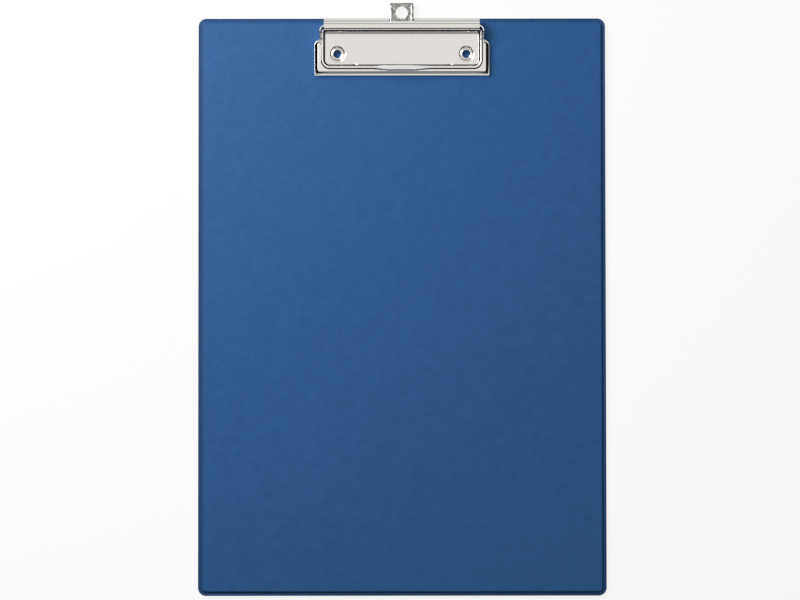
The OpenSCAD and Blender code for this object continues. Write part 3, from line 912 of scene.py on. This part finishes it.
    def add_strap(self, shell: Shell, flip: int) -> None:
        """Adds the strap behind one arm, which turns inwards and ends in the barrel.

        Args:
            shell: What the strap is added to.
            flip: The sign of its X.
        """
        half = self.thick / 2
        x_line = self.half_x + self.ridge_w - half + self.strap_lap
        turn_x = x_line - self.strap_bend
        rise_y = self.skirt_back + self.strap_run
        top, bottom = self.hinge.z + self.strap_half_h, self.hinge.z - self.strap_half_h
        stations = []
        for y in (self.skirt_back, rise_y, *spread(rise_y, self.turn_y, 4)[1:]):
            t = max(0.0, (y - rise_y) / (self.turn_y - rise_y))
            low = self.strap_low + (bottom - self.strap_low) * t
            high = self.shoulder_z + self.strap_lap + (top - self.shoulder_z) * t
            stations.append((Vector((x_line, y, 0)), Vector((1, 0, 0)), low, high))
        for a in spread(0, math.pi / 2, self.turn_steps)[1:]:
            out = Vector((math.cos(a), math.sin(a), 0))
            place = Vector((turn_x, self.turn_y, 0)) + out * self.strap_bend
            stations.append((place, out, bottom, top))
        tongue = Vector((self.tongue_x, self.turn_y + self.strap_bend, 0))
        for x in (self.hinge.length / 2, self.tongue_x):
            stations.append((Vector((x, tongue.y, 0)), Vector((0, 1, 0)), bottom, top))
        rings = []
        for place, out, low, high in stations:
            row = []
            for across, height in self.strip_outline(half, low, high):
                p = place + out * across
                row.append(Vector((flip * p.x, p.y, height)))
            rings.append(row)
        shell.loft(rings)

    @staticmethod
    def strip_outline(half: float, low: float, high: float) -> list[tuple[float, float]]:
        """Draws a strip's section, with its cut edges eased.

        Args:
            half: Half the strip's thickness.
            low: The height of its lower edge.
            high: The height of its upper edge.

        Returns:
            The closed outline as (distance outwards, height).
        """
        ease_by = 0.4 * half
        return [
            (-half, low + ease_by),
            (-half + ease_by, low),
            (half - ease_by, low),
            (half, low + ease_by),
            (half, high - ease_by),
            (half - ease_by, high),
            (-half + ease_by, high),
            (-half, high - ease_by),
        ]

    def build(self) -> bpy.types.Object:
        """Builds the jaw.

        Returns:
            The jaw, which turns with its own body.
        """
        shell = Shell()
        shell.bridge(self.rings())
        for side in Side:
            self.add_arm_ends(shell, side.value)
            self.add_strap(shell, side.value)
        made = shell.piece("jaw_frame", sharp=40)
        made.data.materials.append(self.material)
        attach(made, Body.JAW.value)
        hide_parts("jaw")
        return made


@dataclass
class ClipPlate:
    """The fixed plate under the jaw: its deck with rivet dimples and darts, and its barrel."""

    material: bpy.types.Material
    hinge: Hinge = Hinge()
    thick: float = 0.7
    half_x: float = 43.5
    front: float = 134.8
    rear: float = 153.8
    corner_r: float = 3.1
    bend_r: float = 0.9
    board_z: float = 2.8
    deck_z: float = 4.8
    flat_inset: float = 1.05
    rivet_x: float = 36.1
    rivet_y: float = 141.4
    dimple_r: float = 3.95
    floor_r: float = 3.2
    floor_z: float = 3.5
    hole_r: float = 2.6
    dimple_apron: float = 1.42
    dimple_bend_r: float = 2.4
    floor_bend_r: float = 0.25
    dimple_sides: int = 64
    dart_x: float = 26.6
    dart_half: float = 2.2
    dart_reach: float = 2.6
    dart_depth: float = 0.42
    dart_way: tuple[float, float, float] = (0.0, 0.45, -1.0)
    dart_rings: int = 5
    slot_x: float = 7.0
    slot_turn: float = 37.6
    roll_start: float = -115.2
    roll_end: float = 232.0
    # Parts that a side, a corner, the front, a bend and a dimple's wall are drawn in
    side_steps: int = 12
    corner_steps: int = 14
    front_steps: int = 220
    bend_steps: int = 8
    dimple_steps: int = 12
    # The angle of one part of the barrel, and how far its cut edges bulge, as a share
    roll_step: float = 4.0
    roll_bulge: float = 0.3

    def outline(self, inset: float) -> list[Vector]:
        """Draws the plate's plan.

        Args:
            inset: How far inside the plate's edge.

        Returns:
            Points at height 0, from the left rear round the front to the right rear.
        """
        r = self.corner_r
        x, y = self.half_x - r, self.front + r
        reach = r - inset
        turns = spread(0, math.pi / 2, self.corner_steps)[1:-1]
        line = [Vector((-x - reach, v, 0)) for v in spread(self.rear, y, self.side_steps)]
        for a in turns:
            line.append(Vector((-x - reach * math.cos(a), y - reach * math.sin(a), 0)))
        line += [Vector((v, y - reach, 0)) for v in spread(-x, x, self.front_steps)]
        for a in turns:
            line.append(Vector((x + reach * math.sin(a), y - reach * math.cos(a), 0)))
        return line + [Vector((x + reach, v, 0)) for v in spread(y, self.rear, self.side_steps)]

    def dent(self, p: Vector) -> Vector:
        """Pushes a point of the deck's front edge in where a dart is.

        Args:
            p: The point.

        Returns:
            Its place on the pressed sheet.
        """
        edge = max(p.y - self.front, self.deck_z - p.z) - self.bend_r / 2
        off = min(abs(p.x - self.dart_x), abs(p.x + self.dart_x))
        depth = self.dart_depth * bell(off / self.dart_half) * bell(max(edge, 0) / self.dart_reach)
        return p + Vector(self.dart_way) * depth

    def dimple(self, x: float) -> list[list[Vector]]:
        """Draws one dimple.

        Args:
            x: Where its middle is.

        Returns:
            Its rings, from the deck down to the rivet's hole.
        """
        corners = [
            (self.dimple_r + self.dimple_apron, self.deck_z, 0),
            (self.dimple_r, self.deck_z, self.dimple_bend_r),
            (self.floor_r, self.floor_z, self.floor_bend_r),
            (self.hole_r, self.floor_z, 0),
        ]
        rings = []
        for p, _ in rounded_line(corners, self.dimple_steps):
            row = []
            for k in range(self.dimple_sides):
                a = math.tau * k / self.dimple_sides
                row.append(Vector((x + p.x * math.cos(a), self.rivet_y + p.x * math.sin(a), p.y)))
            rings.append(row)
        return rings

    def deck(self) -> bpy.types.Object:
        """Builds the deck: its upper side first, which is then given the sheet's thickness.

        Returns:
            The deck.
        """
        shell = Shell()
        wall_top = self.deck_z - self.bend_r
        rings = [(0.0, self.board_z), (0.0, (self.board_z + wall_top) / 2)]
        for a in spread(0, math.pi / 2, self.bend_steps):
            rings.append((self.bend_r * (1 - math.cos(a)), wall_top + self.bend_r * math.sin(a)))
        rings += [(self.flat_inset, self.deck_z)] * self.dart_rings
        rows = []
        for i, (inset, z) in enumerate(rings):
            row = []
            for p in self.outline(inset):
                # The last rings reach further in at the darts, which need their points
                inner = max(0, i - len(rings) + self.dart_rings)
                reach = inner / (self.dart_rings - 1) * self.dart_reach
                off = abs(abs(p.x) - self.dart_x) / (2 * self.dart_half)
                # Away from the darts they stay just apart, so that no two points coincide
                p.y += reach * bell(off) + 0.02 * reach if p.y < self.front + 2 else 0.0
                row.append(self.dent(Vector((p.x, p.y, z))))
            rows.append(row)
        dimples = [self.dimple(x) for x in (-self.rivet_x, self.rivet_x)]
        for dimple in dimples:
            shell.bridge(dimple)
        shell.bridge(rows, closed=False)
        work, corners = shell.work_mesh()
        rim = []
        for loop in (rows[-1], *(dimple[0] for dimple in dimples)):
            for near, far in zip(loop, loop[1:] + loop[:1]):
                ends = [corners[shell.point(near)], corners[shell.point(far)]]
                rim.append(work.edges.get(ends) or work.edges.new(ends))
        bmesh.ops.triangle_fill(work, edges=rim, use_beauty=True, normal=(0, 0, 1))
        bmesh.ops.recalc_face_normals(work, faces=work.faces)
        top = max(work.faces, key=lambda f: f.calc_center_median().z)
        if top.normal.z < 0:
            bmesh.ops.reverse_faces(work, faces=work.faces)
        made = new_piece("plate_deck", work)
        solid = made.modifiers.new("thickness", "SOLIDIFY")
        solid.thickness = self.thick * MM
        solid.offset = -1
        solid.use_quality_normals = True
        settle(made)
        return made

    def barrel_ring(self, x: float, start: float, end: float) -> list[Vector]:
        """Draws the rolled sheet's section.

        Args:
            x: Where the section is.
            start: The angle that it starts at, in degrees from the top towards the rear.
            end: The angle that it ends at.

        Returns:
            The closed outline, with rounded cut edges.
        """
        middle = (self.hinge.barrel_r + self.hinge.bore_r) / 2
        half = self.thick / 2
        count = max(8, round(abs(end - start) / self.roll_step))
        angles = [math.radians(a) for a in spread(start, end, count)]
        cut = self.roll_bulge * half / middle
        outer = [(a, middle + half) for a in angles]
        inner = [(a, middle - half) for a in reversed(angles)]
        band = outer + [(angles[-1] + cut, middle)] + inner + [(angles[0] - cut, middle)]
        y, z = self.hinge.y, self.hinge.z
        return [Vector((x, y + r * math.sin(a), z + r * math.cos(a))) for a, r in band]

    def barrel(self) -> bpy.types.Object:
        """Builds the barrel, open at its seam and cut away for the hanger.

        Returns:
            The barrel.
        """
        shell = Shell()
        end, slot = self.hinge.length / 2, self.slot_x
        for low, high, turn in (
            (-end, -slot, self.roll_end),
            (slot, end, self.roll_end),
            (-slot, slot, self.slot_turn),
        ):
            shell.loft([self.barrel_ring(x, self.roll_start, turn) for x in (low, high)])
        return shell.piece("plate_barrel", sharp=30)

    def build(self) -> list[bpy.types.Object]:
        """Builds the plate.

        Returns:
            Its deck and its barrel, which ride on the board.
        """
        pieces = [self.deck(), self.barrel()]
        for made in pieces:
            made.data.materials.append(self.material)
            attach(made, Body.BOARD.value)
        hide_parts("base_plate")
        return pieces


def settle(piece: bpy.types.Object) -> None:
    """Makes a piece's modifiers part of its mesh and shades it smooth.

    Args:
        piece: The piece.
    """
    depsgraph = bpy.context.evaluated_depsgraph_get()
    mesh = bpy.data.meshes.new_from_object(piece.evaluated_get(depsgraph))
    piece.modifiers.clear()
    piece.data = mesh
    shade_soft(mesh, 35)


@dataclass(frozen=True)
class ZincPlate:
    """Barrel-plated zinc on the hanging eye: greyer and duller than nickel, with rubbed spots."""

    name: str = "zinc_plated_steel"
    shade: str = "#b9b8b4"
    rubbed_shade: str = "#6f6d69"
    roughness: float = 0.3
    spot_mm: float = 1.1
    spot_depth_mm: float = 0.06
    spot_range: tuple[float, float] = (0.4, 0.62)

    def build(self) -> bpy.types.Material:
        """Makes the zinc's material.

        Barrel plating knocks the parts together, which leaves dull grey spots about a millimetre
        across, and their edges catch the light.

        Returns:
            The material.
        """
        material, tree = new_material(self.name)
        place = add_node(tree, "ShaderNodeTexCoord").outputs["Object"]
        spots = add_node(
            tree,
            "ShaderNodeTexNoise",
            {"Vector": place, "Scale": per_metre(self.spot_mm), "Detail": 3.0},
        ).outputs["Fac"]
        low, high = self.spot_range
        limits = {"Value": spots, "From Min": low, "From Max": high}
        rubbed = add_node(tree, "ShaderNodeMapRange", limits).outputs["Result"]
        shades = {0: rubbed, 6: linear(self.rubbed_shade), 7: linear(self.shade)}
        colour = add_node(tree, "ShaderNodeMix", shades, data_type="RGBA").outputs[2]
        bump = add_node(
            tree, "ShaderNodeBump", {"Height": spots, "Distance": self.spot_depth_mm * MM}
        ).outputs["Normal"]
        shader = add_node(
            tree,
            "ShaderNodeBsdfPrincipled",
            {
                "Base Color": colour,
                "Metallic": 1.0,
                "Roughness": self.roughness,
                "Normal": bump,
            },
        )
        return close_surface(material, shader.outputs[0])


def dress(node: bpy.types.Object, material: bpy.types.Material) -> None:
    """Gives a carried-over CAD node its material.

    Args:
        node: The node's object.
        material: Its new material.
    """
    node.data.materials.clear()
    node.data.materials.append(material)
    LOG.info("dressed %s", node.name)


@dataclass(frozen=True)
class Studio:
    """The floor, the white surroundings, the black flags, the softbox and the camera."""

    clip_middle: tuple[float, float, float] = (0.0, 0.146, 0.0)
    fill_strength: float = 0.45
    floor_half: float = 3.0
    floor_gap_mm: float = 0.05
    floor_shade: str = "#f2f2f2"
    floor_glow: float = 0.85
    flag_shade: str = "#2a2423"
    flag_radius: float = 1.1
    flag_bands: tuple[tuple[float, float], ...] = (
        (-90.0, -78.0),
        (-38.0, -31.0),
        (34.0, 52.0),
        (64.0, 90.0),
    )
    flag_side: float = 55.0
    flag_corner: float = 14.0
    flag_step: float = 1.0
    softbox_place: tuple[float, float, float] = (-0.44, 0.42, 0.50)
    softbox_size: float = 0.45
    softbox_power: float = 6.0
    camera_distance: float = 1.5
    sensor_mm: float = 36.0
    picture_width: int = 800
    px_per_mm: float = 1.7884
    tilt: float = 1.64
    roll: float = -0.06
    middle_x_mm: float = -1.15
    middle_y_mm: float = 3.50
    board_top_mm: float = 2.8

    def build(self) -> None:
        """Builds everything that isn't part of the object."""
        self.add_world()
        self.add_floor()
        self.add_flags()
        self.add_lamps()
        self.add_camera()

    def white_rays(self, tree: bpy.types.NodeTree) -> bpy.types.NodeSocket:
        """Finds the rays that see the white background.

        Args:
            tree: The node tree to work in.

        Returns:
            A value of 1 for the camera's rays, reflections and what is seen through glass.
        """
        path = add_node(tree, "ShaderNodeLightPath")
        seen = path.outputs["Is Camera Ray"]
        for kind in ("Is Glossy Ray", "Is Transmission Ray"):
            either = {0: seen, 1: path.outputs[kind]}
            seen = add_node(tree, "ShaderNodeMath", either, operation="MAXIMUM").outputs[0]
        return seen

    def add_world(self) -> None:
        """Adds the surroundings: a plain white background, which lights the scene less."""
        world = bpy.data.worlds.new("studio")
        world.use_nodes = True
        tree = world.node_tree
        tree.nodes.clear()
        white = add_node(tree, "ShaderNodeBackground", {"Color": (1, 1, 1, 1), "Strength": 1.0})
        fill = add_node(
            tree, "ShaderNodeBackground", {"Color": (1, 1, 1, 1), "Strength": self.fill_strength}
        )
        mix = {0: self.white_rays(tree), 1: fill.outputs[0], 2: white.outputs[0]}
        both = add_node(tree, "ShaderNodeMixShader", mix).outputs[0]
        add_node(tree, "ShaderNodeOutputWorld", {"Surface": both})
        bpy.context.scene.world = world

    def add_stage(
        self,
        name: str,
        corners: list[tuple[float, float, float]],
        faces: list[tuple[int, ...]],
        material: bpy.types.Material,
    ) -> bpy.types.Object:
        """Adds a mesh that belongs to the studio.

        Args:
            name: Its name.
            corners: Its corners, in metres.
            faces: The corners of each face.
            material: Its material.

        Returns:
            The new object.
        """
        mesh = bpy.data.meshes.new(name)
        mesh.from_pydata(corners, [], faces)
        mesh.materials.append(material)
        made = bpy.data.objects.new(name, mesh)
        bpy.context.scene.collection.objects.link(made)
        return made

    def add_floor(self) -> None:
        """Adds the pale floor. It is white to the camera and in reflections, with the shadow."""
        material, tree = new_material("painted_floor")
        seen = self.white_rays(tree)
        glow = {0: seen, 1: self.floor_glow}
        share = add_node(tree, "ShaderNodeMath", glow, operation="MULTIPLY")
        paint = add_node(tree, "ShaderNodeBsdfDiffuse", {"Color": linear(self.floor_shade)})
        white = add_node(tree, "ShaderNodeEmission", {"Strength": 1.0})
        mix = {0: share.outputs[0], 1: paint.outputs[0], 2: white.outputs[0]}
        close_surface(material, add_node(tree, "ShaderNodeMixShader", mix).outputs[0])
        half, z = self.floor_half, -self.floor_gap_mm * MM
        corners = [(-half, -half, z), (half, -half, z), (half, half, z), (-half, half, z)]
        self.add_stage("floor", corners, [(0, 1, 2, 3)], material)

    def in_flag(self, forward: float, sideways: float) -> bool:
        """Tells whether black cloth hangs in a direction from the clip.

        Args:
            forward: The direction's angle from the top towards the front, in degrees.
            sideways: Its angle from the top towards the right, in degrees.

        Returns:
            Whether it does.
        """
        bands = any(low < forward < high for low, high in self.flag_bands)
        upward = math.cos(math.radians(sideways)) * math.cos(math.radians(forward))
        corner = abs(sideways) > self.flag_corner and forward > 0
        low_down = upward < math.cos(math.radians(self.flag_side))
        return bands or abs(sideways) > self.flag_side or (corner and low_down)

    def add_flags(self) -> None:
        """Hangs black flags round the clip, which give the plating its dark lines.

        They take light from the sides and the front as black cloth does, and the camera doesn't
        see them.
        """
        material, tree = new_material("black_flag_cloth")
        cloth = add_node(tree, "ShaderNodeBsdfDiffuse", {"Color": linear(self.flag_shade)})
        close_surface(material, cloth.outputs[0])
        corners, faces = [], []
        middle = Vector(self.clip_middle)
        steps = round(180 / self.flag_step)
        angles = [math.radians(-90 + i * self.flag_step) for i in range(steps + 1)]
        for across in angles:
            for along in angles:
                level = math.cos(across)
                way = (math.sin(across), -level * math.sin(along), level * math.cos(along))
                corners.append(tuple(middle + Vector(way) * self.flag_radius))
        for i in range(steps):
            for j in range(steps):
                forward, sideways = (-90 + (n + 0.5) * self.flag_step for n in (j, i))
                if self.in_flag(forward, sideways):
                    first = i * (steps + 1) + j
                    faces.append((first, first + 1, first + steps + 2, first + steps + 1))
        flags = self.add_stage("black_flags", corners, faces, material)
        flags.visible_camera = False

    def add_lamps(self) -> None:
        """Adds the softbox at the upper left, which shades the board towards the lower right."""
        data = bpy.data.lights.new("softbox", "AREA")
        data.shape = "SQUARE"
        data.size = self.softbox_size
        data.energy = self.softbox_power
        lamp = bpy.data.objects.new("softbox", data)
        lamp.location = self.softbox_place
        lamp.rotation_euler = (-lamp.location).to_track_quat("-Z", "Y").to_euler()
        bpy.context.scene.collection.objects.link(lamp)

    def add_camera(self) -> None:
        """Adds the camera, nearly straight above, with the board's lower edge a little nearer."""
        data = bpy.data.cameras.new("camera")
        width_m = self.picture_width / self.px_per_mm * MM
        data.sensor_width = self.sensor_mm
        data.lens = data.sensor_width * self.camera_distance / width_m
        camera = bpy.data.objects.new("camera", data)
        middle = Vector((self.middle_x_mm, self.middle_y_mm, self.board_top_mm)) * MM
        camera.matrix_world = (
            Matrix.Translation(middle)
            @ Matrix.Rotation(math.radians(self.tilt), 4, "X")
            @ Matrix.Rotation(math.radians(self.roll), 4, "Z")
            @ Matrix.Translation((0, 0, self.camera_distance))
        )
        bpy.context.scene.collection.objects.link(camera)
        bpy.context.scene.camera = camera


def main() -> None:
    """Builds the dressed clipboard and its studio."""
    logging.basicConfig(level=logging.INFO, format="%(message)s")
    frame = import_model()
    nodes = frame["nodes"]
    foil = PvcFoil().build()
    nickel = NickelPlate().build()
    wire = DrawnWire().build()
    dress(nodes["core_board"], Greyboard().build())
    for name in ("front_foil", "back_foil"):
        dress(nodes[name], foil)
    for name in ("left_rivet", "right_rivet"):
        dress(nodes[name], nickel)
    dress(nodes["hanger"], ZincPlate().build())
    for made in ClipPlate(nickel).build():
        LOG.info("built %s", made.name)
    LOG.info("built %s", Jaw(nickel).build().name)
    springs = Springs(wire)
    for side in Side:
        LOG.info("built %s", springs.build(side).name)
    Studio().build()
    view = bpy.context.scene.view_settings
    view.view_transform = "Standard"


if __name__ == "__main__":
    main()
